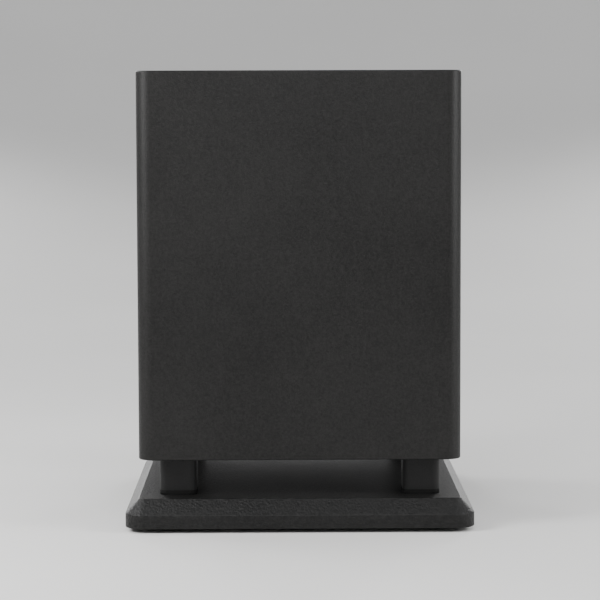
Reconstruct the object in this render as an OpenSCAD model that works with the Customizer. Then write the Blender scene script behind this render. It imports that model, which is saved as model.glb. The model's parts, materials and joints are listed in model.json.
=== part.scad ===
// Down-firing bookshelf speaker: a closed cabinet held on four posts above a chamfered plinth.
// The front faces -Y, +Z is up and the origin is at the centre of the feet's underside. Millimetres.

/* [Cabinet] */
// Width across the front
cab_w = 220; // [180:1:300]
// Depth from front to back
cab_d = 230; // [200:1:320]
// Height of the cabinet alone
cab_h = 263.9; // [240:0.1:400]
// Radius of the four upright edges
edge_r = 10.5; // [2:0.5:14]
// Thickness of the front, sides and top
wall = 15; // [12:1:18]
// Thickness of the back board
back_t = 18; // [16:1:24]
// Thickness of the bottom board
bottom_t = 18; // [16:1:24]

/* [Base] */
// How far the plinth stands out all round
plinth_margin = 9.15; // [6:0.05:20]
// Height of the plinth's upright edge
plinth_edge_h = 9.3; // [5:0.1:20]
// Height of the plinth's chamfer
plinth_chamfer_h = 10; // [4:0.1:16]
// Width of the plinth's chamfer
plinth_chamfer_w = 9.3; // [4:0.1:13]
// Corner radius of the plinth in plan
plinth_r = 13.5; // [13.5:0.5:30]
// Width and depth of each post
post_w = 25.5; // [20:0.5:40]
// Corner radius of each post
post_r = 5; // [1:0.5:8]
// Height of each post
post_h = 23.24; // [15:0.01:60]
// Height of the rubber pad under each post
pad_h = 3; // [1:0.5:6]
// Setback of the posts from the cabinet's sides
post_in_x = 13.6; // [10:0.1:25]
// Setback of the posts from the cabinet's front and back
post_in_y = 17; // [10:0.1:25]
// Height of the rubber feet
foot_h = 3; // [1:0.5:8]
// Radius of the rubber feet
foot_r = 9; // [6:0.5:12]

/* [Driver] */
// Outer radius of the driver's flange
flange_r = 85; // [85:0.5:90]
// Number of driver screws
driver_screws_n = 6; // [4:1:8]
// Radius of the circle the driver screws lie on
driver_screw_pcr = 80.8; // [80:0.1:83]
// Height of the voice coil winding
coil_h = 12; // [8:0.5:14]

/* [Amplifier plate] */
// Width of the plate
plate_w = 176; // [170:1:180]
// Height of the plate
plate_h = 150; // [146:1:156]
// Thickness of the plate
plate_t = 2; // [1.5:0.1:3]
// How deep the plate's face lies below the back
plate_recess = 6.5; // [4:0.5:7]
// Radius of the two knobs
knob_r = 9; // [8:0.5:12]
// Length of the two knobs
knob_l = 12.7; // [10:0.1:15]
// Tilt of the power rocker each side of level, in degrees
rocker_tilt = 11; // [8:0.5:12]
// Travel of the phase switch
phase_travel = 4; // [3:0.5:4]
// Travel of the mode switch each side of its middle
mode_travel = 3; // [2:0.5:3]

/* [Hidden] */
$fn = 64;
eps = 0.01;
base_w = cab_w + 2 * plinth_margin;
base_d = cab_d + 2 * plinth_margin;
base_t = plinth_edge_h + plinth_chamfer_h;
base_top = foot_h + base_t;
post_z = base_top + pad_h;
cab_z = post_z + post_h;
cab_top = cab_z + cab_h;
in_x = cab_w / 2 - wall;
in_front = -cab_d / 2 + wall;
in_back = cab_d / 2 - back_t;
in_top = cab_top - wall;
post_x = cab_w / 2 - post_in_x - post_w / 2;
post_y = cab_d / 2 - post_in_y - post_w / 2;
foot_x = base_w / 2 - 14.6 - foot_r;
foot_y = base_d / 2 - 14.6 - foot_r;
gasket_t = 1.5;
pocket_depth = plate_recess + plate_t + gasket_t;
plate_y = cab_d / 2 - plate_recess;
plate_z = cab_top - 105;
open_w = plate_w - 24;
open_h = plate_h - 24;
brace_z = cab_z + 81;
brace_t = 12;
board_z = -plate_t - 12;
level_at = [-52, 40];
crossover_at = [-10, 40];
led_at = [18, 40];
rca_at = [-52, 4];
phase_at = [-12, 4];
mode_at = [16, 4];
inlet_at = [-48, -44];
rocker_at = [4, -44];
sink_at = [56, 0];
rocker_pivot = -1.5;

// ---- shared shapes ----

// A box with rounded upright edges, standing on z = 0.
module rounded_box(w, d, h, r) {
    translate([-w / 2 + r, -d / 2, 0])
        cube([w - 2 * r, d, h]);
    translate([-w / 2, -d / 2 + r, 0])
        cube([w, d - 2 * r, h]);
    for (sx = [-1, 1], sy = [-1, 1])
        translate([sx * (w / 2 - r), sy * (d / 2 - r), 0])
            cylinder(h = h, r = r);
}

// A rounded box whose four sides slope inwards by c over its height h.
module sloped_box(w, d, h, r, c) {
    rotate([90, 0, 90])
        translate([0, 0, -w / 2 + r])
            linear_extrude(height = w - 2 * r)
                polygon([[-d / 2, 0], [d / 2, 0], [d / 2 - c, h], [-d / 2 + c, h]]);
    rotate([90, 0, 0])
        translate([0, 0, -d / 2 + r])
            linear_extrude(height = d - 2 * r)
                polygon([[-w / 2, 0], [w / 2, 0], [w / 2 - c, h], [-w / 2 + c, h]]);
    for (sx = [-1, 1], sy = [-1, 1])
        translate([sx * (w / 2 - r), sy * (d / 2 - r), 0])
            cylinder(h = h, r1 = r, r2 = r - c);
}

// A cube centred in x and y, from z = a to z = b.
module block(w, h, a, b) {
    translate([-w / 2, -h / 2, a])
        cube([w, h, b - a]);
}

// A ring from z = a to z = b.
module ring(ro, ri, a, b) {
    translate([0, 0, a])
        difference() {
            cylinder(h = b - a, r = ro);
            translate([0, 0, -1])
                cylinder(h = b - a + 2, r = ri);
        }
}

// A pan head screw with a cross recess, its head standing up from z = 0.
module pan_screw(head_r, head_h, shank_r, shank_l) {
    difference() {
        cylinder(h = head_h, r1 = head_r, r2 = head_r * 0.8);
        for (a = [0, 90])
            rotate([0, 0, a])
                block(head_r * 1.1, head_r * 0.24, head_h * 0.45, head_h + 1);
    }
    translate([0, 0, -shank_l])
        cylinder(h = shank_l + eps, r = shank_r);
}

// A round wire through a list of points, each straight length running a little past its bends.
module wire(points, r) {
    last = len(points) - 2;
    for (i = [0 : last]) {
        v = points[i + 1] - points[i];
        l = norm(v);
        e0 = i > 0 ? r * 0.6 : 0;
        e1 = i < last ? r * 0.6 : 0;
        translate(points[i])
            rotate([0, acos(v[2] / l), atan2(v[1], v[0])])
                translate([0, 0, -e0])
                    cylinder(h = l + e0 + e1, r = r, $fn = 24);
    }
}

// The four posts' centres.
module at_posts() {
    for (sx = [-1, 1], sy = [-1, 1])
        translate([sx * post_x, sy * post_y, 0])
            children();
}

// The driver's frame: its axis is the cabinet's, and z = 0 is the cabinet's underside.
module on_driver() {
    translate([0, 0, cab_z])
        children();
}

// The driver's screw places.
module at_driver_screws() {
    for (i = [0 : driver_screws_n - 1])
        rotate([0, 0, 30 + i * 360 / driver_screws_n])
            translate([driver_screw_pcr, 0, 0])
                children();
}

// The plate's frame as seen from behind: x to the right, y up, z towards the viewer from the plate's face.
module on_plate() {
    translate([0, plate_y, plate_z])
        rotate([90, 0, 180])
            children();
}

// The plate's screw places.
module at_plate_screws() {
    for (p = [[-1, -1], [0, -1], [1, -1], [-1, 0], [1, 0], [-1, 1], [0, 1], [1, 1]])
        translate([p[0] * (plate_w / 2 - 6), p[1] * (plate_h / 2 - 6), 0])
            children();
}

// The circuit board's spacer places.
module at_spacers() {
    for (p = [[-68, 54], [30, 54], [-68, -12], [30, -12]])
        translate([p[0], p[1], 0])
            children();
}

// ---- base ----

module rubber_feet() {
    color([0.05, 0.05, 0.05])
        for (sx = [-1, 1], sy = [-1, 1])
            translate([sx * foot_x, sy * foot_y, 0]) {
                cylinder(h = 1, r1 = foot_r - 0.8, r2 = foot_r);
                translate([0, 0, 1 - eps])
                    cylinder(h = foot_h - 1 + eps, r = foot_r);
            }
}

module plinth() {
    color([0.12, 0.12, 0.12])
        difference() {
            union() {
                translate([0, 0, foot_h])
                    rounded_box(base_w, base_d, plinth_edge_h, plinth_r);
                translate([0, 0, foot_h + plinth_edge_h])
                    sloped_box(base_w, base_d, plinth_chamfer_h, plinth_r, plinth_chamfer_w);
            }
            at_posts() {
                translate([0, 0, foot_h - 1])
                    cylinder(h = 9, r = 5.6);
                translate([0, 0, foot_h])
                    cylinder(h = base_t + 1, r = 3.2);
            }
        }
}

module post_pads() {
    color([0.04, 0.04, 0.04])
        at_posts()
            translate([0, 0, base_top])
                difference() {
                    rounded_box(post_w, post_w, pad_h, post_r);
                    translate([0, 0, -1])
                        cylinder(h = pad_h + 2, r = 3.2);
                }
}

module posts() {
    color([0.10, 0.10, 0.10])
        at_posts()
            translate([0, 0, post_z])
                difference() {
                    rounded_box(post_w, post_w, post_h, post_r);
                    translate([0, 0, -1])
                        cylinder(h = post_h + 2, r = 3.2);
                }
}

module post_bolts() {
    color([0.35, 0.35, 0.36])
        at_posts()
            difference() {
                union() {
                    translate([0, 0, foot_h + 2])
                        cylinder(h = 6, r = 5);
                    translate([0, 0, foot_h + 8 - eps])
                        cylinder(h = cab_z + 12 - foot_h - 8, r = 3);
                }
                translate([0, 0, foot_h + 1])
                    cylinder(h = 4, r = 2.9, $fn = 6);
            }
}

module insert_nuts() {
    color([0.62, 0.50, 0.25])
        at_posts()
            ring(4.5, 3.05, cab_z + 0.05, cab_z + 13);
}

// ---- cabinet ----

module cabinet_shell() {
    color([0.13, 0.13, 0.13])
        difference() {
            translate([0, 0, cab_z])
                rounded_box(cab_w, cab_d, cab_h, edge_r);
            translate([-in_x, in_front, cab_z - 1])
                cube([2 * in_x, cab_d, in_top - cab_z + 1]);
        }
}

module back_panel() {
    color([0.13, 0.13, 0.13])
        difference() {
            translate([-in_x, in_back, cab_z])
                cube([2 * in_x, back_t, in_top - cab_z]);
            on_plate() {
                translate([0, 0, -plate_t - gasket_t])
                    rounded_box(plate_w + 0.8, plate_h + 0.8, pocket_depth + 1, 4.4);
                block(open_w, open_h, -back_t - 10, 5);
                at_plate_screws()
                    translate([0, 0, -plate_t - gasket_t - 7.5])
                        cylinder(h = 8, r = 1.5);
            }
        }
}

module bottom_board() {
    color([0.30, 0.22, 0.14])
        difference() {
            translate([-in_x, in_front, cab_z])
                cube([2 * in_x, in_back - in_front, bottom_t]);
            on_driver() {
                translate([0, 0, -1])
                    cylinder(h = bottom_t + 2, r = 73);
                translate([0, 0, -1])
                    cylinder(h = 6, r = flange_r + 0.4);
                at_driver_screws()
                    cylinder(h = 15.6, r = 1.95);
            }
            at_posts()
                translate([0, 0, cab_z - 1])
                    cylinder(h = 15, r = 4.55);
        }
}

module shelf_brace() {
    color([0.45, 0.34, 0.22])
        translate([0, 0, brace_z])
            difference() {
                translate([-in_x, in_front, 0])
                    cube([2 * in_x, in_back - in_front, brace_t]);
                translate([0, 0, -1])
                    cylinder(h = brace_t + 2, r = 66);
            }
}

module damping_wadding() {
    z0 = brace_z + brace_t + 3;
    h = in_top - 3 - z0;
    color([0.85, 0.84, 0.80]) {
        translate([-78, in_front, z0])
            cube([156, 12, h]);
        for (sx = [-1, 1])
            translate([sx * (in_x - 6) - 6, in_front + 16, z0])
                cube([12, 130, h]);
    }
}

// ---- driver, facing down ----

module driver_frame() {
    color([0.16, 0.16, 0.17])
        on_driver()
            difference() {
                rotate_extrude()
                    polygon([[69.5, 1.2], [76.8, 1.2], [76.8, 0], [flange_r, 0], [flange_r, 3.5],
                        [72.5, 3.5], [57.5, 37], [57.5, 39], [46, 39], [46, 46], [21, 46], [21, 43],
                        [43, 43], [43, 39], [38, 39], [38, 36.5], [55.3, 36.5], [69.5, 4.8]]);
                for (i = [0 : 5])
                    rotate([0, 0, i * 60])
                        translate([48, -20, 7])
                            cube([40, 40, 27]);
                at_driver_screws()
                    translate([0, 0, -1])
                        cylinder(h = 6, r = 2.3);
            }
}

module driver_gasket() {
    color([0.06, 0.06, 0.06])
        on_driver()
            difference() {
                ring(flange_r - 0.5, 73.5, 3.5, 5);
                at_driver_screws()
                    cylinder(h = 8, r = 2.3);
            }
}

module driver_screws() {
    color([0.20, 0.20, 0.21])
        on_driver()
            at_driver_screws()
                rotate([180, 0, 0])
                    pan_screw(3.4, 2.2, 1.9, 15);
}

module surround() {
    color([0.05, 0.05, 0.05])
        on_driver()
            rotate_extrude($fn = 128) {
                difference() {
                    translate([66, 1.2])
                        circle(r = 5.5);
                    translate([66, 1.2])
                        circle(r = 4.6);
                    translate([50, 1.2])
                        square([30, 20]);
                }
                translate([70.6, 0.2])
                    square([5.9, 1]);
                translate([57.5, 0.2])
                    square([3.9, 1]);
            }
}

module cone() {
    color([0.10, 0.10, 0.10])
        on_driver()
            rotate_extrude($fn = 128)
                polygon([[16.3, 27.3], [57, 1.25], [61, 1.25], [61, 2.25], [57.4, 2.25], [16.3, 28.5]]);
}

module dust_cap() {
    color([0.08, 0.08, 0.08])
        on_driver()
            translate([0, 0, 57.2])
                intersection() {
                    difference() {
                        sphere(r = 41.3);
                        sphere(r = 40.5);
                    }
                    translate([0, 0, -42.3])
                        cylinder(h = 8, r = 23);
                }
}

module coil_former() {
    color([0.60, 0.42, 0.20])
        on_driver()
            ring(16.25, 15.75, 26.9, 49 + coil_h / 2 + 0.5);
}

module voice_coil() {
    color([0.72, 0.42, 0.24])
        on_driver()
            ring(17.1, 16.3, 48.5 - coil_h / 2, 48.5 + coil_h / 2);
}

module spider() {
    color([0.70, 0.58, 0.34])
        on_driver()
            rotate_extrude($fn = 128) {
                for (i = [0 : 3])
                    translate([18.2 + 5.2 * (i + 0.5), 36.15])
                        difference() {
                            circle(r = 2.9, $fn = 48);
                            circle(r = 2.3, $fn = 48);
                            translate([-4, i % 2 == 0 ? -8 : 0])
                                square([8, 8]);
                        }
                translate([16.3, 35.85])
                    square([2.2, 0.6]);
                translate([38.7, 35.85])
                    square([11.3, 0.6]);
            }
}

module top_plate() {
    color([0.55, 0.55, 0.56])
        on_driver()
            ring(42, 17.5, 46, 51);
}

module magnet_ring() {
    color([0.14, 0.14, 0.15])
        on_driver()
            ring(45, 24, 51, 66);
}

module pole_yoke() {
    color([0.55, 0.55, 0.56])
        on_driver()
            difference() {
                union() {
                    translate([0, 0, 66])
                        cylinder(h = 6, r = 42);
                    translate([0, 0, 46])
                        cylinder(h = 20 + eps, r = 15.4);
                }
                translate([0, 0, 40])
                    cylinder(h = 40, r = 5);
            }
}

module terminal_tab() {
    color([0.50, 0.36, 0.20])
        on_driver() {
            translate([-9, 47, 39])
                cube([18, 15, 2]);
            for (sx = [-1, 1])
                translate([sx * 5 - 1.6, 56.6, 41 - eps])
                    cube([3.2, 0.8, 8]);
        }
}

// ---- amplifier plate ----

module amp_plate() {
    color([0.09, 0.09, 0.10])
        on_plate()
            difference() {
                translate([0, 0, -plate_t])
                    rounded_box(plate_w, plate_h, plate_t, 4);
                at_plate_screws()
                    translate([0, 0, -5])
                        cylinder(h = 10, r = 1.9);
                for (p = [level_at, crossover_at])
                    translate([p[0], p[1], -5])
                        cylinder(h = 10, r = 3.6);
                translate([led_at[0], led_at[1], -5])
                    cylinder(h = 10, r = 1.6);
                translate([rca_at[0], rca_at[1], 0])
                    block(32, 13, -5, 5);
                translate([phase_at[0], phase_at[1], 0])
                    block(phase_travel + 5, 4.4, -5, 5);
                translate([mode_at[0], mode_at[1], 0])
                    block(2 * mode_travel + 5, 4.4, -5, 5);
                translate([inlet_at[0], inlet_at[1], 0])
                    block(27.4, 20.4, -5, 5);
                for (sx = [-1, 1])
                    translate([inlet_at[0] + sx * 20, inlet_at[1], -5])
                        cylinder(h = 10, r = 1.6);
                translate([rocker_at[0], rocker_at[1], 0])
                    block(13.1, 19.4, -5, 5);
            }
}

module plate_gasket() {
    color([0.06, 0.06, 0.06])
        on_plate()
            difference() {
                block(plate_w - 3, plate_h - 3, -plate_t - gasket_t, -plate_t);
                block(open_w + 0.6, open_h + 0.6, -10, 5);
                at_plate_screws()
                    translate([0, 0, -10])
                        cylinder(h = 12, r = 1.9);
            }
}

module plate_screws() {
    color([0.22, 0.22, 0.23])
        on_plate()
            at_plate_screws()
                pan_screw(3.6, 2.2, 1.45, 10.5);
}

module heat_sink() {
    color([0.12, 0.12, 0.13])
        on_plate()
            translate([sink_at[0], sink_at[1], 0]) {
                block(40, 110, 0, 3);
                for (i = [-4 : 4])
                    translate([i * 4.75, 0, 0])
                        block(2, 110, 3 - eps, 10);
            }
}

module amp_board() {
    color([0.05, 0.22, 0.10])
        on_plate()
            difference() {
                translate([-19, 21, 0])
                    block(106, 74, board_z - 1.6, board_z);
                at_spacers()
                    translate([0, 0, board_z - 5])
                        cylinder(h = 10, r = 1.6);
            }
}

module board_spacers() {
    color([0.72, 0.66, 0.42])
        on_plate()
            at_spacers() {
                translate([0, 0, board_z])
                    cylinder(h = -plate_t - board_z, r = 3, $fn = 6);
                translate([0, 0, board_z - 3.2])
                    cylinder(h = 4, r = 1.5);
            }
}

module power_transformer() {
    color([0.20, 0.18, 0.14])
        on_plate()
            translate([-46, 38, 0]) {
                block(34, 30, board_z - 9.6, board_z - 1.6);
                block(24, 26, board_z - 26, board_z - 9);
                block(34, 12, board_z - 30, board_z - 9);
            }
}

module filter_capacitors() {
    color([0.08, 0.10, 0.16])
        on_plate()
            for (x = [-10, 12])
                translate([x, 42, board_z - 31.6]) {
                    difference() {
                        cylinder(h = 30, r = 9);
                        translate([0, 0, -eps])
                            cylinder(h = 0.6, r = 7.8);
                    }
                }
}

// ---- controls ----

// A rotary control's fixed body with its threaded bushing.
module pot_body() {
    difference() {
        union() {
            translate([0, 0, -plate_t - 9])
                cylinder(h = 9, r = 8.5);
            translate([0, 0, -plate_t - eps])
                cylinder(h = plate_t + 6, r = 3.5);
            translate([0, -4, 0])
                block(10, 6, board_z, -plate_t - 8);
        }
        translate([0, 0, -plate_t - 3])
            cylinder(h = 20, r = 3.06);
    }
}

// A rotary control's shaft.
module pot_shaft() {
    translate([0, 0, -plate_t - 2.5])
        cylinder(h = 15.4, r = 3);
}

// A fluted knob, hollow round the bushing, with a raised pointer.
module knob() {
    difference() {
        union() {
            translate([0, 0, 0.8])
                cylinder(h = 2, r = knob_r + 0.6);
            translate([0, 0, 2.8 - eps])
                cylinder(h = knob_l - 2, r1 = knob_r, r2 = knob_r - 0.7);
        }
        translate([0, 0, -1])
            cylinder(h = 8, r = 6.8);
        translate([0, 0, 6])
            cylinder(h = 5.4, r = 3.03);
        for (i = [0 : 19])
            rotate([0, 0, i * 18 + 9])
                translate([knob_r + 0.35, 0, 3.6])
                    cylinder(h = knob_l, r = 0.9, $fn = 16);
    }
    translate([0, knob_r - 3.9, 0])
        block(1.1, 6, knob_l + 0.8 - eps, knob_l + 1.3);
}

module level_pot() {
    color([0.30, 0.32, 0.30])
        on_plate()
            translate([level_at[0], level_at[1], 0])
                pot_body();
}

module level_shaft() {
    color([0.75, 0.75, 0.76])
        on_plate()
            translate([level_at[0], level_at[1], 0])
                pot_shaft();
}

module level_knob() {
    color([0.07, 0.07, 0.07])
        on_plate()
            translate([level_at[0], level_at[1], 0])
                knob();
}

module crossover_pot() {
    color([0.30, 0.32, 0.30])
        on_plate()
            translate([crossover_at[0], crossover_at[1], 0])
                pot_body();
}

module crossover_shaft() {
    color([0.75, 0.75, 0.76])
        on_plate()
            translate([crossover_at[0], crossover_at[1], 0])
                pot_shaft();
}

module crossover_knob() {
    color([0.07, 0.07, 0.07])
        on_plate()
            translate([crossover_at[0], crossover_at[1], 0])
                knob();
}

module pot_nuts() {
    color([0.70, 0.70, 0.71])
        on_plate()
            for (p = [level_at, crossover_at])
                translate([p[0], p[1], 0])
                    difference() {
                        cylinder(h = 2.2, r = 5.2, $fn = 6);
                        translate([0, 0, -1])
                            cylinder(h = 5, r = 3.55);
                    }
}

// A slide switch's fixed body: its cavity takes a carriage with the given half travel.
module switch_body(half) {
    difference() {
        union() {
            block(2 * half + 12, 8.4, -plate_t - 7, -plate_t);
            block(2 * half + 7, 4, board_z, -plate_t - 6);
        }
        block(2 * half + 6.2, 5.2, -plate_t - 4.6, 5);
    }
}

// A slide switch's carriage with its nub.
module switch_slider() {
    block(5.4, 4.4, -plate_t - 4, -plate_t - 0.9);
    difference() {
        block(3.8, 3.6, -plate_t - 1, 2.6);
        for (i = [-1 : 1])
            translate([i * 1.1, 0, 0])
                block(0.4, 5, 2.1, 4);
    }
}

module phase_switch() {
    color([0.12, 0.12, 0.12])
        on_plate()
            translate([phase_at[0], phase_at[1], 0])
                switch_body(phase_travel / 2);
}

module phase_slider() {
    color([0.80, 0.80, 0.78])
        on_plate()
            translate([phase_at[0] - phase_travel / 2, phase_at[1], 0])
                switch_slider();
}

module mode_switch() {
    color([0.12, 0.12, 0.12])
        on_plate()
            translate([mode_at[0], mode_at[1], 0])
                switch_body(mode_travel);
}

module mode_slider() {
    color([0.80, 0.80, 0.78])
        on_plate()
            translate([mode_at[0], mode_at[1], 0])
                switch_slider();
}

// ---- sockets ----

module rca_block() {
    color([0.10, 0.10, 0.10])
        on_plate()
            translate([rca_at[0], rca_at[1], 0])
                difference() {
                    union() {
                        block(34, 15, board_z, -plate_t);
                        block(31.6, 12.6, -plate_t - eps, eps);
                        rounded_box(36, 18, 1.4, 2);
                    }
                    for (sx = [-1, 1])
                        translate([sx * 9, 0, -9])
                            cylinder(h = 12, r = 4.2);
                }
}

module rca_shells() {
    color([0.80, 0.68, 0.36])
        on_plate()
            for (sx = [-1, 1])
                translate([rca_at[0] + sx * 9, rca_at[1], 0]) {
                    ring(4.15, 3.45, -8, 10.5);
                    ring(5.6, 4.1, 1.4, 2.4);
                }
}

module rca_inserts() {
    color([0.75, 0.10, 0.10])
        on_plate()
            for (sx = [-1, 1])
                translate([rca_at[0] + sx * 9, rca_at[1], -8])
                    difference() {
                        cylinder(h = 17, r = 3.4);
                        translate([0, 0, 8])
                            cylinder(h = 10, r = 1.6);
                    }
}

module inlet_body() {
    color([0.07, 0.07, 0.07])
        on_plate()
            translate([inlet_at[0], inlet_at[1], 0])
                difference() {
                    union() {
                        rounded_box(50, 24, 2.4, 3);
                        block(27, 20, -18, eps);
                    }
                    translate([0, 0, -14])
                        linear_extrude(height = 20)
                            polygon([[-12.2, -8.2], [12.2, -8.2], [12.2, 4.2], [8.2, 8.2],
                                [-8.2, 8.2], [-12.2, 4.2]]);
                    for (p = [[-7, -2], [7, -2], [0, 2.5]])
                        translate([p[0], p[1], 0])
                            block(2.1, 4.1, -20, -13);
                    for (sx = [-1, 1])
                        translate([sx * 20, 0, -1])
                            cylinder(h = 5, r = 1.7);
                }
}

module inlet_pins() {
    color([0.78, 0.78, 0.76])
        on_plate()
            for (p = [[-7, -2, -1.5], [7, -2, -1.5], [0, 2.5, 0]])
                translate([inlet_at[0] + p[0], inlet_at[1] + p[1], 0]) {
                    block(2, 4, -18.4, p[2]);
                    block(0.8, 4, -26, -18.4 + eps);
                }
}

module inlet_screws() {
    color([0.22, 0.22, 0.23])
        on_plate()
            for (sx = [-1, 1])
                translate([inlet_at[0] + sx * 20, inlet_at[1], 2.4])
                    pan_screw(2.8, 1.7, 1.5, 9);
}

module rocker_frame() {
    color([0.07, 0.07, 0.07])
        on_plate()
            translate([rocker_at[0], rocker_at[1], 0])
                difference() {
                    union() {
                        rounded_box(15, 21, 1.8, 1);
                        block(12.9, 19.2, -14, eps);
                    }
                    block(11.2, 16.8, -9, 5);
                    translate([-10, 0, rocker_pivot])
                        rotate([0, 90, 0])
                            cylinder(h = 20, r = 1.06, $fn = 32);
                    for (sy = [-1, 1])
                        translate([0, sy * 5, 0])
                            block(4.9, 0.9, -16, -10);
                }
}

module rocker_tabs() {
    color([0.78, 0.78, 0.76])
        on_plate()
            for (sy = [-1, 1])
                translate([rocker_at[0], rocker_at[1] + sy * 5, 0])
                    block(4.8, 0.8, -22, -10);
}

module power_rocker() {
    color([0.06, 0.06, 0.06])
        on_plate()
            translate([rocker_at[0], rocker_at[1], rocker_pivot])
                rotate([rocker_tilt, 0, 0]) {
                    rotate([90, 0, 90])
                        translate([0, 0, -5.2])
                            linear_extrude(height = 10.4)
                                polygon([[-7.4, 3.6], [-7.4, -0.5], [-3, -4], [3, -4], [7.4, -0.5],
                                    [7.4, 3.6], [0, 1.9]]);
                    translate([-6.2, 0, 0])
                        rotate([0, 90, 0])
                            cylinder(h = 12.4, r = 1, $fn = 32);
                }
}

module status_led() {
    color([0.15, 0.45, 0.90])
        on_plate()
            translate([led_at[0], led_at[1], 0]) {
                translate([0, 0, -plate_t - 1])
                    cylinder(h = plate_t + 1.4, r = 1.5, $fn = 32);
                translate([0, 0, 0.4])
                    sphere(r = 1.5, $fn = 32);
                translate([0, 0, -plate_t - 4])
                    cylinder(h = 3.5, r = 2, $fn = 32);
                for (sx = [-1, 1])
                    translate([sx * 1.2, 0, 0])
                        block(0.5, 0.5, board_z, -plate_t - 3);
            }
}

// ---- wiring ----

module speaker_leads() {
    y1 = plate_y + board_z - 2.8;
    color([0.55, 0.10, 0.08])
        for (sx = [-1, 1])
            wire([[sx * 5, 58.7, cab_z + 48], [sx * 5.2, 60, cab_z + 98], [sx * 5.6, 80, plate_z - 12],
                [sx * 6, y1, plate_z + 8]], 1.1);
}

module mains_leads() {
    color([0.25, 0.16, 0.10])
        on_plate() {
            wire([[inlet_at[0] + 7, inlet_at[1] - 2, -27.2], [rocker_at[0] - 1, rocker_at[1] - 5, -23.4]], 1);
            wire([[rocker_at[0], rocker_at[1] + 5, -23.4], [-24, 2, board_z - 3]], 1);
            wire([[inlet_at[0] - 7, inlet_at[1] - 2, -27.2], [-46, 2, board_z - 3]], 1);
        }
}

// ---- the part ----

rubber_feet();
plinth();
post_pads();
posts();
post_bolts();
insert_nuts();
cabinet_shell();
back_panel();
bottom_board();
shelf_brace();
damping_wadding();
driver_frame();
driver_gasket();
driver_screws();
surround();
cone();
dust_cap();
coil_former();
voice_coil();
spider();
top_plate();
magnet_ring();
pole_yoke();
terminal_tab();
amp_plate();
plate_gasket();
plate_screws();
heat_sink();
amp_board();
board_spacers();
power_transformer();
filter_capacitors();
level_pot();
level_shaft();
level_knob();
crossover_pot();
crossover_shaft();
crossover_knob();
pot_nuts();
phase_switch();
phase_slider();
mode_switch();
mode_slider();
rca_block();
rca_shells();
rca_inserts();
inlet_body();
inlet_pins();
inlet_screws();
rocker_frame();
rocker_tabs();
power_rocker();
status_led();
speaker_leads();
mains_leads();
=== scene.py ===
import json
import math

import bpy
import bmesh
from mathutils import Matrix, Vector, noise
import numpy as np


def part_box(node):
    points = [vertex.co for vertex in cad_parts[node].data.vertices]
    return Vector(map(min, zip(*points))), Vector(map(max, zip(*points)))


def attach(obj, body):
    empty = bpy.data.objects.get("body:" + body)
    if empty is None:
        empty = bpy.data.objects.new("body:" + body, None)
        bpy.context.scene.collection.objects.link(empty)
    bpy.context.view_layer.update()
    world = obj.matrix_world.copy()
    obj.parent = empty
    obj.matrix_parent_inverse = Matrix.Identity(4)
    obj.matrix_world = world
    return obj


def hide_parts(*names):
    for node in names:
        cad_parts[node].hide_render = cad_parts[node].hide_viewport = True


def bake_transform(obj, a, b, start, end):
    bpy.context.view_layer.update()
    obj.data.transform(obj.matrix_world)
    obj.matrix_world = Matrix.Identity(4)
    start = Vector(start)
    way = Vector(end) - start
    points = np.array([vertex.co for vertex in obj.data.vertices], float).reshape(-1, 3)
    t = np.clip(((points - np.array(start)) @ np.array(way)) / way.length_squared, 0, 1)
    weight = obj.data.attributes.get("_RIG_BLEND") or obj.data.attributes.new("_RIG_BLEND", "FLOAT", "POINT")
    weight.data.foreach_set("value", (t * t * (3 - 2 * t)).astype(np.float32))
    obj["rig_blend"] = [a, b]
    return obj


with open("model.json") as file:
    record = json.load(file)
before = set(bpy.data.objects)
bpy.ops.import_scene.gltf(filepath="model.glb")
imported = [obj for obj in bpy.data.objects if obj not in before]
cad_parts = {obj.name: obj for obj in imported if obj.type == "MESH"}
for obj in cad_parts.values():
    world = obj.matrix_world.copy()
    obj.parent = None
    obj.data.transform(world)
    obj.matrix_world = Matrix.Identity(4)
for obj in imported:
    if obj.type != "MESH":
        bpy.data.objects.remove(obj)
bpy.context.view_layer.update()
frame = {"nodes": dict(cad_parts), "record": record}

# The cabinet shell, plinth, surround, spider and wadding get new meshes, and ink marks are added
# round the knobs. Every other solid keeps the frame's own mesh: its material comes from its slot,
# and some solids get a small bevel.

NODES = frame["nodes"]
MATERIALS = {}
MM = 0.001


# ---------------------------------------------------------------- geometry helpers

def corners(box):
    """A box's low and high corners as vectors."""
    return Vector(box[0]), Vector(box[1])


def shade_smooth(mesh, sharp_degrees=35.0):
    """Smooth faces, with sharp edges where they meet at a larger angle than the one given."""
    mesh.polygons.foreach_set("use_smooth", [True] * len(mesh.polygons))
    mesh.set_sharp_from_angle(angle=math.radians(sharp_degrees))


def face_outward(mesh):
    """Turns the faces of a closed mesh to the outside."""
    shape = bmesh.new()
    shape.from_mesh(mesh)
    bmesh.ops.recalc_face_normals(shape, faces=shape.faces)
    shape.to_mesh(mesh)
    shape.free()


def new_mesh_object(name, verts, faces, material=None, sharp_degrees=35.0):
    """An object in the scene from points and faces."""
    mesh = bpy.data.meshes.new(name)
    mesh.from_pydata([tuple(v) for v in verts], [], faces)
    mesh.validate()
    shade_smooth(mesh, sharp_degrees)
    mesh.update()
    obj = bpy.data.objects.new(name, mesh)
    bpy.context.scene.collection.objects.link(obj)
    if material is not None:
        mesh.materials.append(material)
    return obj


def arc(centre, radius, start, end, steps):
    """Points along an arc, as pairs, between two angles in degrees."""
    angles = [math.radians(start + (end - start) * i / steps) for i in range(steps + 1)]
    return [(centre[0] + radius * math.cos(a), centre[1] + radius * math.sin(a)) for a in angles]


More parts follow.
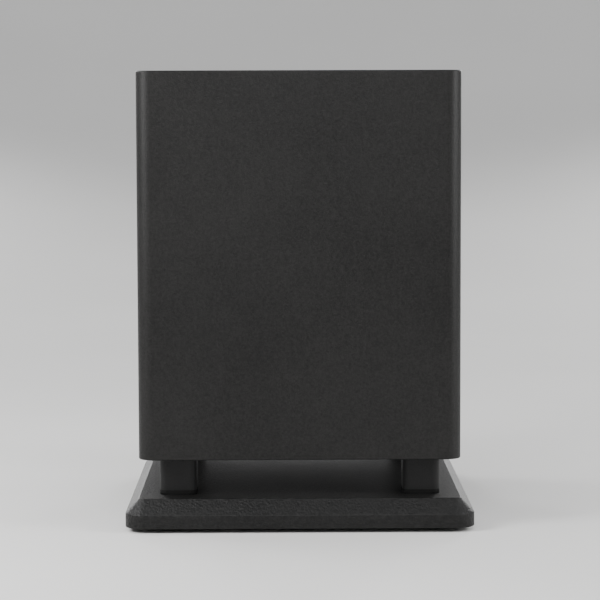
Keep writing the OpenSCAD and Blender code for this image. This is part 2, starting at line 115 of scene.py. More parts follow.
def rounded_loop(half_x, half_y, radius, z, steps):
    """A rounded rectangle's points, counter-clockwise from above."""
    points = []
    for side_x, side_y, start in ((1, 1, 0), (-1, 1, 90), (-1, -1, 180), (1, -1, 270)):
        centre = (side_x * (half_x - radius), side_y * (half_y - radius))
        points += [Vector((x, y, z)) for x, y in arc(centre, radius, start, start + 90.0, steps)]
    return points


def band(first, second, count):
    """The faces between two rings of points, from the number of each ring's first point."""
    ahead = [(i + 1) % count for i in range(count)]
    return [(first + i, second + i, second + j, first + j) for i, j in enumerate(ahead)]


def loft(name, loops, material):
    """A closed solid through loops of equal length, its first and last loops capped."""
    count = len(loops[0])
    verts = [point for loop in loops for point in loop]
    faces = [list(reversed(range(count)))]
    for k in range(len(loops) - 1):
        faces += band((k + 1) * count, k * count, count)
    faces.append([(len(loops) - 1) * count + i for i in range(count)])
    return new_mesh_object(name, verts, faces, material)


def revolve(name, profile, base_z, material, steps):
    """A ring swept round the Z axis from (radius, height) pairs, with heights above base_z."""
    verts, faces = [], []
    count = len(profile)
    for s in range(steps):
        turn = 2 * math.pi * s / steps
        verts += [(r * math.cos(turn), r * math.sin(turn), base_z + z) for r, z in profile]
        faces += band(s * count, (s + 1) % steps * count, count)
    return new_mesh_object(name, verts, faces, material)


def box_object(name, lo, hi):
    """A box between two corners, used as a cutter."""
    loops = []
    for z in (lo[2], hi[2]):
        loops.append([(lo[0], lo[1], z), (hi[0], lo[1], z), (hi[0], hi[1], z), (lo[0], hi[1], z)])
    return loft(name, loops, None)


def disc_object(name, centre, radius, low_z, high_z, steps=48):
    """A round bar along Z, used as a cutter."""
    rim = arc(centre, radius, 0, 360, steps)[:-1]
    return loft(name, [[(x, y, z) for x, y in rim] for z in (low_z, high_z)], None)


def cut(obj, cutters):
    """Takes the cutters away from the object and applies the result."""
    for cutter in cutters:
        step = obj.modifiers.new("cut", "BOOLEAN")
        step.operation = "DIFFERENCE"
        step.solver = "EXACT"
        step.object = cutter
    bpy.context.view_layer.update()
    graph = bpy.context.evaluated_depsgraph_get()
    mesh = bpy.data.meshes.new_from_object(obj.evaluated_get(graph))
    obj.modifiers.clear()
    whole = obj.data
    mesh.name = whole.name
    obj.data = mesh
    bpy.data.meshes.remove(whole)
    for cutter in cutters:
        cutter_mesh = cutter.data
        bpy.data.objects.remove(cutter)
        bpy.data.meshes.remove(cutter_mesh)
    shade_smooth(obj.data)


def weight_normals(obj):
    """Keeps large flat faces flat next to their small rounded edges."""
    step = obj.modifiers.new("normals", "WEIGHTED_NORMAL")
    step.keep_sharp = True
    step.weight = 60


def edge_rows(z_flat, z_side, radius, steps=4):
    """Insets and heights of a rounded edge, from the flat at z_flat to the side at z_side."""
    rows = []
    for i in range(steps + 1):
        a = math.pi / 2 * i / steps
        rows.append((radius * (1 - math.sin(a)), z_flat + (z_side - z_flat) * (1 - math.cos(a))))
    return rows


# ---------------------------------------------------------------- material helpers

class Shader:
    """Builds one procedural material and keeps it in MATERIALS under its name."""

    def __init__(self, name, base, rough, metal=0.0, **sockets):
        self.mat = bpy.data.materials.new(name)
        self.mat.use_nodes = True
        self.tree = self.mat.node_tree
        self.bsdf = self.tree.nodes["Principled BSDF"]
        self.set("Base Color", (*base, 1.0))
        self.set("Roughness", rough)
        self.set("Metallic", metal)
        for key, value in sockets.items():
            self.set(key.replace("_", " "), value)
        self.coord = self.node("ShaderNodeTexCoord").outputs["Object"]
        MATERIALS[name] = self.mat

    def set(self, socket, value):
        self.bsdf.inputs[socket].default_value = value

    def node(self, kind, **inputs):
        new = self.tree.nodes.new(kind)
        for key, value in inputs.items():
            new.inputs[key.replace("_", " ")].default_value = value
        return new

    def link(self, output, socket):
        self.tree.links.new(output, socket)

    def noise(self, scale, detail=2.0, rough=0.5, stretch=None):
        """A noise pattern, its scale in waves per metre, stretched along some axes if asked."""
        pattern = self.node("ShaderNodeTexNoise", Scale=scale, Detail=detail, Roughness=rough)
        place = self.coord
        if stretch is not None:
            mapping = self.node("ShaderNodeMapping", Scale=stretch)
            self.link(self.coord, mapping.inputs["Vector"])
            place = mapping.outputs["Vector"]
        self.link(place, pattern.inputs["Vector"])
        return pattern.outputs["Fac"]

    def ramp(self, fac, low, dark, high, light):
        """A colour that goes from dark at the value low to light at the value high."""
        scale = self.node("ShaderNodeValToRGB")
        ends = scale.color_ramp.elements
        ends[0].position = low
        ends[0].color = (*dark, 1.0)
        ends[1].position = high
        ends[1].color = (*light, 1.0)
        self.link(fac, scale.inputs["Fac"])
        return scale.outputs["Color"]

    def tint(self, fac, dark, light, low=0.35, high=0.65):
        self.link(self.ramp(fac, low, dark, high, light), self.bsdf.inputs["Base Color"])

    def vary_rough(self, fac, low, high):
        span = self.node("ShaderNodeMapRange", To_Min=low, To_Max=high)
        self.link(fac, span.inputs["Value"])
        self.link(span.outputs["Result"], self.bsdf.inputs["Roughness"])

    def mix(self, a, b, fac):
        mixer = self.node("ShaderNodeMix")
        mixer.data_type = "FLOAT"
        mixer.inputs["Factor"].default_value = fac
        self.link(a, mixer.inputs["A"])
        self.link(b, mixer.inputs["B"])
        return mixer.outputs["Result"]

    def bump(self, height, distance):
        relief = self.node("ShaderNodeBump", Strength=1.0, Distance=distance)
        self.link(height, relief.inputs["Height"])
        self.link(relief.outputs["Normal"], self.bsdf.inputs["Normal"])

    def past(self, axis, at):
        """1 where the object's own coordinate is past a value, and 0 before it."""
        split = self.node("ShaderNodeSeparateXYZ")
        self.link(self.coord, split.inputs["Vector"])
        test = self.node("ShaderNodeMath")
        test.operation = "GREATER_THAN"
        test.inputs[1].default_value = at
        self.link(split.outputs[axis], test.inputs[0])
        return test.outputs["Value"]

    def either(self, fac, first, second):
        """The first colour where fac is 0 and the second where it is 1."""
        mixer = self.node("ShaderNodeMix")
        mixer.data_type = "RGBA"
        self.link(first, mixer.inputs["A"])
        self.link(second, mixer.inputs["B"])
        self.link(fac, mixer.inputs["Factor"])
        return mixer.outputs["Result"]


def scaled(colour, factor):
    """The colour made lighter or darker by a factor."""
    return tuple(min(1.0, value * factor) for value in colour)


def coated_board(name, base, rough, grain, depth, tone, shine, pebble=0.0):
    """Textured coating: a grain in height, tone and gloss, with larger pebbles if asked."""
    s = Shader(name, base, rough, Specular_IOR_Level=shine)
    fine = s.noise(grain, 3.0, 0.6)
    speck = s.noise(grain * 0.42, 4.0, 0.7)
    broad = s.noise(9.0, 3.0, 0.5)
    mottle = s.mix(s.mix(fine, speck, 0.6), broad, 0.2)
    s.tint(mottle, scaled(base, 1 - tone), scaled(base, 1 + tone), 0.38, 0.62)
    s.vary_rough(s.mix(speck, broad, 0.4), rough - 0.08, rough + 0.08)
    height = s.mix(fine, speck, 0.55)
    if pebble > 0:
        height = s.mix(s.noise(grain * 0.75, 1.0, 0.4), height, 1 - pebble)
    s.bump(height, depth)


def plain_board(name, base, tone=0.25):
    """Bare fibreboard: fine fibres in the tone."""
    s = Shader(name, base, 0.8)
    fibres = s.mix(s.noise(420, 4.0, 0.7), s.noise(60, 3.0, 0.6), 0.35)
    s.tint(fibres, scaled(base, 1 - tone), scaled(base, 1 + tone), 0.38, 0.62)
    s.bump(s.noise(900), 0.00015)


def satin_plastic(name, base, rough=0.45, grain=900, depth=0.00004, coat=0.0):
    """Moulded plastic with a faint grain."""
    s = Shader(name, base, rough, Coat_Weight=coat, Coat_Roughness=0.15)
    fine = s.noise(grain)
    s.tint(s.mix(fine, s.noise(40), 0.5), scaled(base, 0.86), scaled(base, 1.14))
    s.vary_rough(s.noise(55, 3.0), rough - 0.06, rough + 0.08)
    s.bump(fine, depth)


def plain_rubber(name, base, rough=0.75, depth=0.00006):
    """Dull rubber or foam, uneven in tone."""
    s = Shader(name, base, rough, Specular_IOR_Level=0.2)
    fine = s.noise(1200, 3.0, 0.6)
    s.tint(s.mix(fine, s.noise(35, 3.0), 0.6), scaled(base, 0.7), scaled(base, 1.35))
    s.vary_rough(s.noise(30, 3.0), rough - 0.1, rough + 0.1)
    s.bump(fine, depth)


def worked_metal(name, base, rough, stretch=None, depth=0.00002, metal=1.0, tone=0.12):
    """Metal with a fine grain, drawn out along some axes if asked."""
    s = Shader(name, base, rough, metal)
    fine = s.noise(1500, 3.0, 0.6, stretch)
    s.tint(s.mix(fine, s.noise(30, 3.0), 0.5), scaled(base, 1 - tone), scaled(base, 1 + tone))
    s.vary_rough(s.mix(fine, s.noise(45, 3.0), 0.5), rough - 0.08, rough + 0.1)
    s.bump(fine, depth)


def painted(name, base, rough, grain, depth, tone=0.2, shine=0.5):
    """Paint or a fired surface, with a grain in height, tone and gloss."""
    s = Shader(name, base, rough, Specular_IOR_Level=shine)
    fine = s.noise(grain, 3.0, 0.6)
    s.tint(s.mix(fine, s.noise(25, 3.0), 0.4), scaled(base, 1 - tone), scaled(base, 1 + tone))
    s.vary_rough(fine, rough - 0.08, rough + 0.08)
    s.bump(fine, depth)


def pressed_paper(name, base, rough=0.8):
    """Paper pulp with visible fibres."""
    s = Shader(name, base, rough)
    fibres = s.mix(s.noise(700, 5.0, 0.7), s.noise(180, 3.0, 0.6), 0.4)
    s.tint(fibres, scaled(base, 0.7), scaled(base, 1.5), 0.36, 0.66)
    s.bump(fibres, 0.00018)


def woven(name, base):
    """Cloth with threads along X and along Y."""
    s = Shader(name, base, 0.85, Sheen_Weight=0.2)
    threads = []
    for direction in ("X", "Y"):
        wave = s.node("ShaderNodeTexWave", Scale=300.0, Distortion=0.4)
        wave.bands_direction = direction
        s.link(s.coord, wave.inputs["Vector"])
        threads.append(wave.outputs["Fac"])
    weave = s.mix(threads[0], threads[1], 0.5)
    s.tint(s.mix(weave, s.noise(70, 3.0), 0.4), scaled(base, 0.6), scaled(base, 1.15))
    s.bump(weave, 0.00015)


def felted(name, base):
    """Loose fibres pressed into a mat."""
    s = Shader(name, base, 0.95, Sheen_Weight=0.5, Sheen_Roughness=0.6)
    fibres = s.mix(s.noise(260, 6.0, 0.75), s.noise(1100, 4.0, 0.7), 0.4)
    s.tint(fibres, scaled(base, 0.72), scaled(base, 1.08), 0.35, 0.6)
    s.bump(fibres, 0.0012)


def lamp_lens(name, base):
    """A coloured lens that glows a little."""
    s = Shader(name, base, 0.12, Transmission_Weight=0.35, IOR=1.5)
    s.tint(s.noise(600), (0.02, 0.08, 0.38), (0.05, 0.14, 0.5))
    s.set("Emission Color", (0.1, 0.35, 1.0, 1.0))
    s.set("Emission Strength", 0.6)


def socket_inserts(name, base):
    """The phono sockets' insulators: the one at lower X is red and the other white."""
    lo, hi = corners(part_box("rca_inserts"))
    s = Shader(name, base, 0.3)
    grain = s.noise(900)
    red = s.ramp(grain, 0.3, (0.45, 0.015, 0.012), 0.7, (0.54, 0.021, 0.016))
    white = s.ramp(grain, 0.3, (0.66, 0.65, 0.62), 0.7, (0.73, 0.72, 0.69))
    second = s.past("X", (lo.x + hi.x) / 2)
    s.link(s.either(second, red, white), s.bsdf.inputs["Base Color"])
    s.vary_rough(s.noise(300, 3.0), 0.22, 0.42)
    s.bump(grain, 0.00003)


def knob_plastic(node):
    """Satin black with a white pointer on the raised line."""
    hi = corners(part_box(node))[1]
    s = Shader("knob_" + node, (0.016, 0.016, 0.016), 0.42)
    grain = s.noise(1100)
    black = s.ramp(grain, 0.3, (0.012, 0.012, 0.012), 0.7, (0.021, 0.021, 0.021))
    white = s.ramp(grain, 0.3, (0.68, 0.68, 0.66), 0.7, (0.75, 0.75, 0.73))
    line = s.past("Y", hi.y - 0.3 * MM)
    s.link(s.either(line, black, white), s.bsdf.inputs["Base Color"])
    s.vary_rough(s.noise(60, 3.0), 0.36, 0.5)
    s.bump(grain, 0.00004)


# ---------------------------------------------------------------- materials

# Boards and coatings
coated_board("cabinet_coat", (0.0078, 0.0076, 0.0073), rough=0.43, grain=1250, depth=0.00034,
             tone=0.70, shine=0.26)
coated_board("plinth_coat", (0.0080, 0.0079, 0.0077), rough=0.46, grain=820, depth=0.00100,
             tone=0.60, shine=0.24, pebble=0.45)
plain_board("raw_board", (0.36, 0.25, 0.14))
plain_board("fibre_tab", (0.33, 0.19, 0.08), tone=0.15)
painted("black_board", (0.020, 0.019, 0.018), rough=0.8, grain=700, depth=0.00025, tone=0.35)
painted("post_coat", (0.0094, 0.0094, 0.0094), rough=0.50, grain=1300, depth=0.00014, tone=0.35,
        shine=0.26)
painted("frame_coat", (0.022, 0.022, 0.024), rough=0.38, grain=500, depth=0.00012)
painted("plate_paint", (0.016, 0.016, 0.017), rough=0.5, grain=1500, depth=0.00014, tone=0.3)
painted("ferrite", (0.030, 0.030, 0.033), rough=0.5, grain=350, depth=0.0002, tone=0.3)
painted("ferrite_core", (0.05, 0.045, 0.04), rough=0.55, grain=300, depth=0.0002, tone=0.3)

# Rubber, paper and cloth
plain_rubber("soft_rubber", (0.004, 0.004, 0.004), rough=0.8)
plain_rubber("roll_rubber", (0.018, 0.018, 0.018), rough=0.5)
plain_rubber("foam", (0.022, 0.022, 0.022), rough=0.9, depth=0.0002)
pressed_paper("paper_cone", (0.022, 0.022, 0.023))
pressed_paper("cap_paper", (0.018, 0.018, 0.019), rough=0.6)
woven("spider_cloth", (0.48, 0.32, 0.12))
felted("wadding", (0.72, 0.71, 0.67))

# Metals
worked_metal("steel_dark", (0.06, 0.06, 0.062), rough=0.42, depth=0.00003)
worked_metal("steel_plain", (0.56, 0.57, 0.58), rough=0.30)
worked_metal("brass_plain", (0.68, 0.50, 0.22), rough=0.28)
worked_metal("contact_brass", (0.80, 0.58, 0.24), rough=0.2)
worked_metal("control_metal", (0.58, 0.57, 0.54), rough=0.32)
worked_metal("tin_blade", (0.66, 0.66, 0.64), rough=0.25, stretch=(1, 0.05, 1))
worked_metal("copper", (0.62, 0.27, 0.12), rough=0.3, stretch=(1, 1, 30), depth=0.00008)
worked_metal("anodised", (0.035, 0.035, 0.037), rough=0.36, stretch=(1, 1, 0.02), depth=0.00003,
             metal=0.6, tone=0.2)

# Plastics
satin_plastic("former_film", (0.42, 0.20, 0.05), rough=0.3)
satin_plastic("circuit_board", (0.012, 0.085, 0.035), rough=0.35)
satin_plastic("can_sleeve", (0.015, 0.02, 0.05), rough=0.25)
satin_plastic("switch_plastic", (0.018, 0.018, 0.018))
satin_plastic("nub_plastic", (0.60, 0.60, 0.57), rough=0.4)
satin_plastic("socket_plastic", (0.014, 0.014, 0.0145), rough=0.42)
satin_plastic("rocker_plastic", (0.012, 0.012, 0.012), rough=0.25, grain=300, depth=0.00002, coat=0.3)
satin_plastic("lead_red", (0.36, 0.02, 0.015), rough=0.4)
satin_plastic("lead_brown", (0.10, 0.04, 0.015), rough=0.4)
lamp_lens("led_lens", (0.03, 0.10, 0.42))
socket_inserts("insert_plastic", (0.6, 0.6, 0.58))
for knob in ("level_knob", "crossover_knob"):
    knob_plastic(knob)


# ---------------------------------------------------------------- finish of the frame's own solids

def give(node, material):
    """Puts a material in every material slot of a node."""
    obj = NODES[node]
    if not obj.material_slots:
        obj.data.materials.append(material)
    for slot in obj.material_slots:
        slot.material = material


def soften(node, width):
    """Rounds a solid's sharp edges with a small bevel."""
    obj = NODES[node]
    join = obj.modifiers.new("join", "WELD")
    join.merge_threshold = 0.002 * MM
    edge = obj.modifiers.new("edge", "BEVEL")
    edge.width = width
    edge.segments = 2
    edge.limit_method = "ANGLE"
    edge.angle_limit = math.radians(50)
    edge.harden_normals = True


for part in frame["record"]["subparts"]:
    if part["material_slot"] == "knob_plastic":
        give(part["node"], MATERIALS["knob_" + part["node"]])
    else:
        give(part["node"], MATERIALS[part["material_slot"]])

for solid in ("heat_sink", "rocker_frame", "inlet_body", "rca_block"):
    soften(solid, 0.30 * MM)
for solid in ("power_rocker", "post_pads", "rubber_feet", "level_knob", "crossover_knob"):
    soften(solid, 0.35 * MM)
for solid in ("phase_slider", "mode_slider", "rca_shells", "status_led"):
    soften(solid, 0.12 * MM)


# ---------------------------------------------------------------- cabinet shell

shell_lo, shell_hi = corners(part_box("cabinet_shell"))
panel_lo, panel_hi = corners(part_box("back_panel"))
FRONT_WALL = 15 * MM
CORNER_R = 10.5 * MM
LOW_EDGE_R = 0.9 * MM
TOP_EDGE_R = 1.3 * MM
FLAT_MARGIN = 30 * MM  # from the last flat rows to the cabinet's ends
SEAM_W = 0.35 * MM  # the groove round the back panel
SEAM_DEEP = 1.2 * MM
PAST = 10 * MM  # how far a cutter reaches beyond the solid


def shell_loop(inset, z):
    """The cabinet's outline at a height, drawn in by the inset."""
    middle_y = (shell_lo.y + shell_hi.y) / 2
    half_x = (shell_hi.x - shell_lo.x) / 2 - inset
    half_y = (shell_hi.y - shell_lo.y) / 2 - inset
    loop = rounded_loop(half_x, half_y, CORNER_R - inset, z, 16)
    return [point + Vector((0, middle_y, 0)) for point in loop]


rows = edge_rows(shell_lo.z, shell_lo.z + LOW_EDGE_R, LOW_EDGE_R)
for z in (shell_lo.z + FLAT_MARGIN, (shell_lo.z + shell_hi.z) / 2, shell_hi.z - FLAT_MARGIN):
    rows.append((0.0, z))
rows += reversed(edge_rows(shell_hi.z, shell_hi.z - TOP_EDGE_R, TOP_EDGE_R, 12))
shell = loft("cabinet_skin", [shell_loop(inset, z) for inset, z in rows], MATERIALS["cabinet_coat"])
cut(shell, [
    box_object("cavity", (panel_lo.x, shell_lo.y + FRONT_WALL, shell_lo.z - PAST),
               (panel_hi.x, shell_hi.y + PAST, panel_hi.z)),
    box_object("seam", (panel_lo.x - SEAM_W, shell_hi.y - SEAM_DEEP, shell_lo.z - PAST),
               (panel_hi.x + SEAM_W, shell_hi.y + PAST, panel_hi.z + SEAM_W)),
])
weight_normals(shell)
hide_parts("cabinet_shell")
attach(shell, "cabinet")


# ---------------------------------------------------------------- plinth

plinth_lo, plinth_hi = corners(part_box("plinth"))
bolts_hi = corners(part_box("post_bolts"))[1]
PLINTH_R = 13.5 * MM
CHAMFER_W = 9.3 * MM
UPRIGHT_H = 9.3 * MM
BOTTOM_EDGE_R = 0.4 * MM
SIDE_ROW_H = 5 * MM  # a row of points on the upright edge
TOP_ROW_W = 3 * MM  # from the chamfer to the last row on the top
LOW_TURN_R = 1.7 * MM  # where the upright edge turns into the chamfer
HIGH_TURN_R = 0.9 * MM  # where the chamfer turns into the top
BOLT_HEAD_R = 5 * MM
HEAD_BORE_R = 5.6 * MM
HEAD_BORE_DEEP = 8 * MM
SHANK_BORE_R = 3.2 * MM


def plinth_loop(inset, z):
    """The plinth's outline at a height, drawn in by the inset."""
    half_x = (plinth_hi.x - plinth_lo.x) / 2 - inset
    half_y = (plinth_hi.y - plinth_lo.y) / 2 - inset
    return rounded_loop(half_x, half_y, PLINTH_R - inset, z, 14)


def turn_angles(start, end, steps=5):
    """Angles in equal steps, both ends included."""
    return [start + (end - start) * i / steps for i in range(steps + 1)]


# The chamfer meets the upright edge and the top in two arcs that are tangent to both of their sides.
# Its lean is measured from the vertical.
chamfer_z = plinth_lo.z + UPRIGHT_H
lean = math.atan2(CHAMFER_W, plinth_hi.z - chamfer_z)
low_start = chamfer_z - LOW_TURN_R * math.tan(lean / 2)
high_end = CHAMFER_W + HIGH_TURN_R * math.tan((math.pi / 2 - lean) / 2)
rows = edge_rows(plinth_lo.z, plinth_lo.z + BOTTOM_EDGE_R, BOTTOM_EDGE_R)
rows.append((0.0, plinth_lo.z + SIDE_ROW_H))
for a in turn_angles(0.0, lean):
    rows.append((LOW_TURN_R * (1 - math.cos(a)), low_start + LOW_TURN_R * math.sin(a)))
rows.append((CHAMFER_W / 2, (chamfer_z + plinth_hi.z) / 2))
for a in turn_angles(lean, math.pi / 2):
    rows.append((high_end - HIGH_TURN_R * math.cos(a), plinth_hi.z - HIGH_TURN_R * (1 - math.sin(a))))
rows.append((CHAMFER_W + TOP_ROW_W, plinth_hi.z))
plinth = loft("plinth_board", [plinth_loop(inset, z) for inset, z in rows], MATERIALS["plinth_coat"])
cutters = []
for side_x in (-1, 1):
    for side_y in (-1, 1):
        bolt = (side_x * (bolts_hi.x - BOLT_HEAD_R), side_y * (bolts_hi.y - BOLT_HEAD_R))
        cutters.append(disc_object("bore", bolt, HEAD_BORE_R, plinth_lo.z - PAST,
                                   plinth_lo.z + HEAD_BORE_DEEP))
        cutters.append(disc_object("shank", bolt, SHANK_BORE_R, plinth_lo.z - PAST,
                                   plinth_hi.z + PAST, 32))
cut(plinth, cutters)
weight_normals(plinth)
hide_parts("plinth")
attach(plinth, "cabinet")


# ---------------------------------------------------------------- surround

surround_hi = corners(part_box("surround"))[1]
FLAT_TOP = 1.2 * MM
driver_z = surround_hi.z - FLAT_TOP


def surround_profile():
    """A half roll that hangs down between two glued flats, as (radius, height) pairs."""
    inner, outer = 57.5 * MM, surround_hi.x
    flat_under = 0.2 * MM
    middle, roll_r, roll_t = 66 * MM, 5.5 * MM, 0.9 * MM
    foot = roll_r + 0.1 * MM
    profile = [(inner, FLAT_TOP), (inner, flat_under), (middle - foot, flat_under)]
    profile += arc((middle, FLAT_TOP), roll_r, 192, 348, 18)
    profile += [(middle + foot, flat_under), (outer, flat_under), (outer, FLAT_TOP)]
    profile += arc((middle, FLAT_TOP), roll_r - roll_t, 0, -180, 18)
    return profile


def radial_blend(obj, body_in, body_out, r_in, r_out):
    """The piece follows the cone at its inner rim and the cabinet at its outer rim."""
    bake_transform(obj, body_out, body_in, start=(0, 0, driver_z - 1), end=(0, 0, driver_z + 1))
    share = obj.data.attributes["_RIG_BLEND"]
    for vertex in obj.data.vertices:
        r = math.hypot(vertex.co.x, vertex.co.y)
        t = min(1.0, max(0.0, (r_out - r) / (r_out - r_in)))
        share.data[vertex.index].value = t * t * (3 - 2 * t)


surround = revolve("surround_roll", surround_profile(), driver_z, MATERIALS["roll_rubber"], 160)
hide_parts("surround")
radial_blend(surround, "cone_assembly", "cabinet", 61 * MM, 71 * MM)


# ---------------------------------------------------------------- spider

def spider_profile():
    """Two full waves between flat rims, as (radius, height) pairs above the driver's face."""
    inner, outer = 16.3 * MM, 50 * MM
    waves_in, waves_out, half_wave = 18.2 * MM, 39.0 * MM, 5.2 * MM
    middle_z, wave_h, half_t = 36.15 * MM, 2.3 * MM, 0.28 * MM
    steps = 96
    middle = []
    for i in range(steps + 1):
        r = inner + (outer - inner) * i / steps
        wave = 0.0
        if waves_in <= r <= waves_out:
            wave = wave_h * math.sin((r - waves_in) / half_wave * math.pi)
        middle.append((r, middle_z + wave))
    return [(r, z - half_t) for r, z in middle] + [(r, z + half_t) for r, z in reversed(middle)]


spider = revolve("spider_disc", spider_profile(), driver_z, MATERIALS["spider_cloth"], 96)
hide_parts("spider")
radial_blend(spider, "cone_assembly", "cabinet", 18 * MM, 39 * MM)


# ---------------------------------------------------------------- printed dial marks

def dial_marks(name, knob_node, count=11):
    """Ink lines round a knob over its 300 degrees of travel, the first, middle and last ones longer."""
    first_angle, travel = 240, 300
    inner, long_end, short_end = 11.2 * MM, 14.4 * MM, 13.0 * MM
    long_half_w, short_half_w = 0.42 * MM, 0.26 * MM
    ink_t = 0.06 * MM
    knob_lo, knob_hi = corners(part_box(knob_node))
    plate_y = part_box("amp_plate")[1][1]
    centre = Vector(((knob_lo.x + knob_hi.x) / 2, plate_y, (knob_lo.z + knob_hi.z) / 2))
    verts, faces = [], []
    for i in range(count):
        is_long = i % 5 == 0
        outer = long_end if is_long else short_end
        half_w = long_half_w if is_long else short_half_w
        a = math.radians(first_angle - travel * i / (count - 1))
        along = Vector((-math.cos(a), 0, math.sin(a)))
        across = Vector((math.sin(a), 0, math.cos(a)))
        n = len(verts)
        for lift in (Vector((0, 0, 0)), Vector((0, ink_t, 0))):
            for r, side in ((inner, -1), (outer, -1), (outer, 1), (inner, 1)):
                verts.append(centre + lift + along * r + across * (half_w * side))
        faces += [(n, n + 1, n + 2, n + 3), (n + 7, n + 6, n + 5, n + 4)] + band(n, n + 4, 4)
    ink = Shader(name + "_ink", (0.55, 0.55, 0.53), 0.6)
    ink.tint(ink.noise(900, 3.0), (0.46, 0.46, 0.44), (0.62, 0.62, 0.60))
    obj = new_mesh_object(name, verts, faces, ink.mat)
    face_outward(obj.data)
    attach(obj, "cabinet")


dial_marks("level_marks", "level_knob")
dial_marks("crossover_marks", "crossover_knob")


# ---------------------------------------------------------------- damping wadding

pads_lo, pads_hi = corners(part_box("damping_wadding"))
PAD_T = 12 * MM
MEAN_FILL, LUMP_FILL = 0.84, 0.15  # the crown's height and its unevenness, in pad thicknesses
EDGE_DRAW_A, EDGE_DRAW_B = 0.022, 0.016  # how far the middles of the edges draw in
FRONT_PAD_HALF = 78 * MM
SIDE_PAD_HALF = 65 * MM
STAPLES = [(-0.7, -0.66), (0.7, -0.66), (0.0, 0.0), (-0.7, 0.66), (0.7, 0.66)]  # in half sizes
STAPLE_REACH = 9 * MM
STAPLE_PINCH = 0.62  # the share of its thickness that the pad loses at a staple


def staple_pull(a, b, staples):
    """The share of its thickness that the pad keeps at a point: least at a staple."""
    share = 1.0
    for staple_a, staple_b in staples:
        away = math.hypot(a - staple_a, b - staple_b)
        share *= 1 - STAPLE_PINCH * math.exp(-(away / STAPLE_REACH) ** 2)
    return share


def wadding_pad(verts, faces, place, half_a, half_b):
    """Adds one pad: flat on the wall, crowned, uneven and held down by its staples."""
    steps_a, steps_b = 56, 48
    staples = [(half_a * u, half_b * v) for u, v in STAPLES]
    upper, under = {}, {}
    for i in range(steps_a + 1):
        for j in range(steps_b + 1):
            u, v = 2 * i / steps_a - 1, 2 * j / steps_b - 1
            a = half_a * u * (1 - EDGE_DRAW_A * (1 - v * v))
            b = half_b * v * (1 - EDGE_DRAW_B * (1 - u * u))
            spot = place(a, b, 0.0)
            crown = math.sqrt(1 - abs(u) ** 9) * math.sqrt(1 - abs(v) ** 9)
            lumps = noise.noise(spot * 38) * 0.6 + noise.noise(spot * 120) * 0.4
            fill = MEAN_FILL + LUMP_FILL * lumps
            height = PAD_T * crown * fill * staple_pull(a, b, staples)
            upper[i, j] = under[i, j] = len(verts)
            verts.append(place(a, b, height))
            if 0 < i < steps_a and 0 < j < steps_b:
                under[i, j] = len(verts)
                verts.append(spot)
    for i in range(steps_a):
        for j in range(steps_b):
            faces.append((upper[i, j], upper[i + 1, j], upper[i + 1, j + 1], upper[i, j + 1]))
            faces.append((under[i, j + 1], under[i + 1, j + 1], under[i + 1, j], under[i, j]))


def on_front_wall(a, b, height):
    return Vector((a, pads_lo.y + height, pads_middle_z + b))


def on_left_wall(a, b, height):
    return Vector((pads_lo.x + height, side_pads_y + a, pads_middle_z + b))


def on_right_wall(a, b, height):
    return Vector((pads_hi.x - height, side_pads_y + a, pads_middle_z + b))


pads_middle_z = (pads_lo.z + pads_hi.z) / 2
pads_half_h = (pads_hi.z - pads_lo.z) / 2
side_pads_y = pads_hi.y - SIDE_PAD_HALF
pad_verts, pad_faces = [], []
wadding_pad(pad_verts, pad_faces, on_front_wall, FRONT_PAD_HALF, pads_half_h)
wadding_pad(pad_verts, pad_faces, on_left_wall, SIDE_PAD_HALF, pads_half_h)
wadding_pad(pad_verts, pad_faces, on_right_wall, SIDE_PAD_HALF, pads_half_h)
wadding = new_mesh_object("wadding_pads", pad_verts, pad_faces, MATERIALS["wadding"], 80)
face_outward(wadding.data)
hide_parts("damping_wadding")
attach(wadding, "cabinet")


# ---------------------------------------------------------------- floor and light

def sweep(name, flat_r, curve_r, top_z, material, steps=96):
    """A flat floor that curves up into a wall all round."""
    path = [(0.4 * flat_r, 0.0)]
    path += arc((flat_r, curve_r), curve_r, -90, 0, 18)
    path.append((flat_r + curve_r, top_z))
    verts = [(0, 0, 0)]
    faces = [(0, 1 + i, 1 + (i + 1) % steps) for i in range(steps)]
    turns = [2 * math.pi * i / steps for i in range(steps)]
    for k, (r, z) in enumerate(path):
        verts += [(r * math.cos(turn), r * math.sin(turn), z) for turn in turns]
        if k > 0:
            faces += band(1 + (k - 1) * steps, 1 + k * steps, steps)
    return new_mesh_object(name, verts, faces, material, 60)


floor_pale = Shader("floor_pale", (0.72, 0.715, 0.705), 0.8, Specular_IOR_Level=0.2)
floor_pale.tint(floor_pale.noise(3.0), (0.71, 0.705, 0.695), (0.73, 0.725, 0.715))
floor = sweep("floor", flat_r=1.1, curve_r=2.6, top_z=2.9, material=floor_pale.mat)

world = bpy.data.worlds.new("studio")
world.use_nodes = True
bpy.context.scene.world = world
background = world.node_tree.nodes["Background"]
background.inputs["Color"].default_value = (0.97, 0.98, 1.0, 1.0)
background.inputs["Strength"].default_value = 0.85


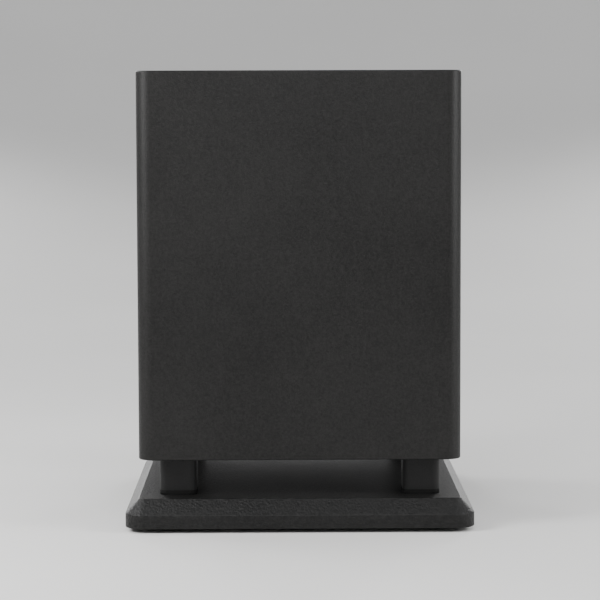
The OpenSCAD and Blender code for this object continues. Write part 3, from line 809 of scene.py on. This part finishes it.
def lamp(name, place, aim, size, watts, spread=180.0):
    """A rectangular lamp that points at aim and that the camera does not see."""
    light = bpy.data.lights.new(name, "AREA")
    light.shape = "RECTANGLE"
    light.size, light.size_y = size
    light.energy = watts
    light.spread = math.radians(spread)
    obj = bpy.data.objects.new(name, light)
    bpy.context.scene.collection.objects.link(obj)
    toward = Vector(aim) - Vector(place)
    obj.rotation_euler = toward.to_track_quat("-Z", "Y").to_euler()
    obj.location = place
    obj.visible_camera = False


# Soft light from the front, both sides and above, and two lamps far behind that light the edges.
lamp("key_soft", (0.0, -0.82, 0.62), (0, -0.1, 0.22), (0.4, 0.4), 2.45)
lamp("left_soft", (-0.62, -0.42, 0.52), (-0.1, -0.1, 0.25), (0.30, 0.35), 6.8)
lamp("right_soft", (0.95, -0.36, 0.48), (0.1, -0.1, 0.20), (0.30, 0.5), 6.6)
lamp("left_high", (-0.68, 0.32, 0.72), (-0.12, -0.1, 0.02), (0.3, 0.3), 2.6)
lamp("right_high", (0.68, 0.32, 0.72), (0.12, -0.1, 0.02), (0.3, 0.3), 0.7)
lamp("left_rim", (-0.95, 2.1, 0.72), (-0.12, 0.1, 0.02), (0.45, 0.45), 6.6, 120)
lamp("right_rim", (0.95, 2.1, 0.72), (0.12, 0.1, 0.02), (0.45, 0.45), 6.6, 120)


# ---------------------------------------------------------------- camera

# It stands in front of the cabinet, a little lower than its top, and looks slightly down. Its place
# is in cabinet widths: sideways from the middle, back from the cabinet's front, and up from the
# plinth's underside.
YAW, PITCH, ROLL = math.radians(0.393), math.radians(4.768), math.radians(0.18)
SIDEWAYS, BACK, UP = -0.0446, 6.799, 1.2709
cabinet_w = shell_hi.x - shell_lo.x
level = math.cos(PITCH)
forward = Vector((math.sin(YAW) * level, math.cos(YAW) * level, -math.sin(PITCH)))
level_right = Vector((math.cos(YAW), -math.sin(YAW), 0))
level_up = level_right.cross(forward)
right = level_right * math.cos(ROLL) - level_up * math.sin(ROLL)
up = level_right * math.sin(ROLL) + level_up * math.cos(ROLL)
stand = Vector((SIDEWAYS * cabinet_w, shell_lo.y - BACK * cabinet_w, plinth_lo.z + UP * cabinet_w))
turn = Matrix((right, up, -forward)).transposed().to_4x4()

lens = bpy.data.cameras.new("camera")
lens.lens = 133.26
lens.sensor_width = 36.0
camera = bpy.data.objects.new("camera", lens)
bpy.context.scene.collection.objects.link(camera)
camera.matrix_world = Matrix.Translation(stand) @ turn
bpy.context.scene.camera = camera
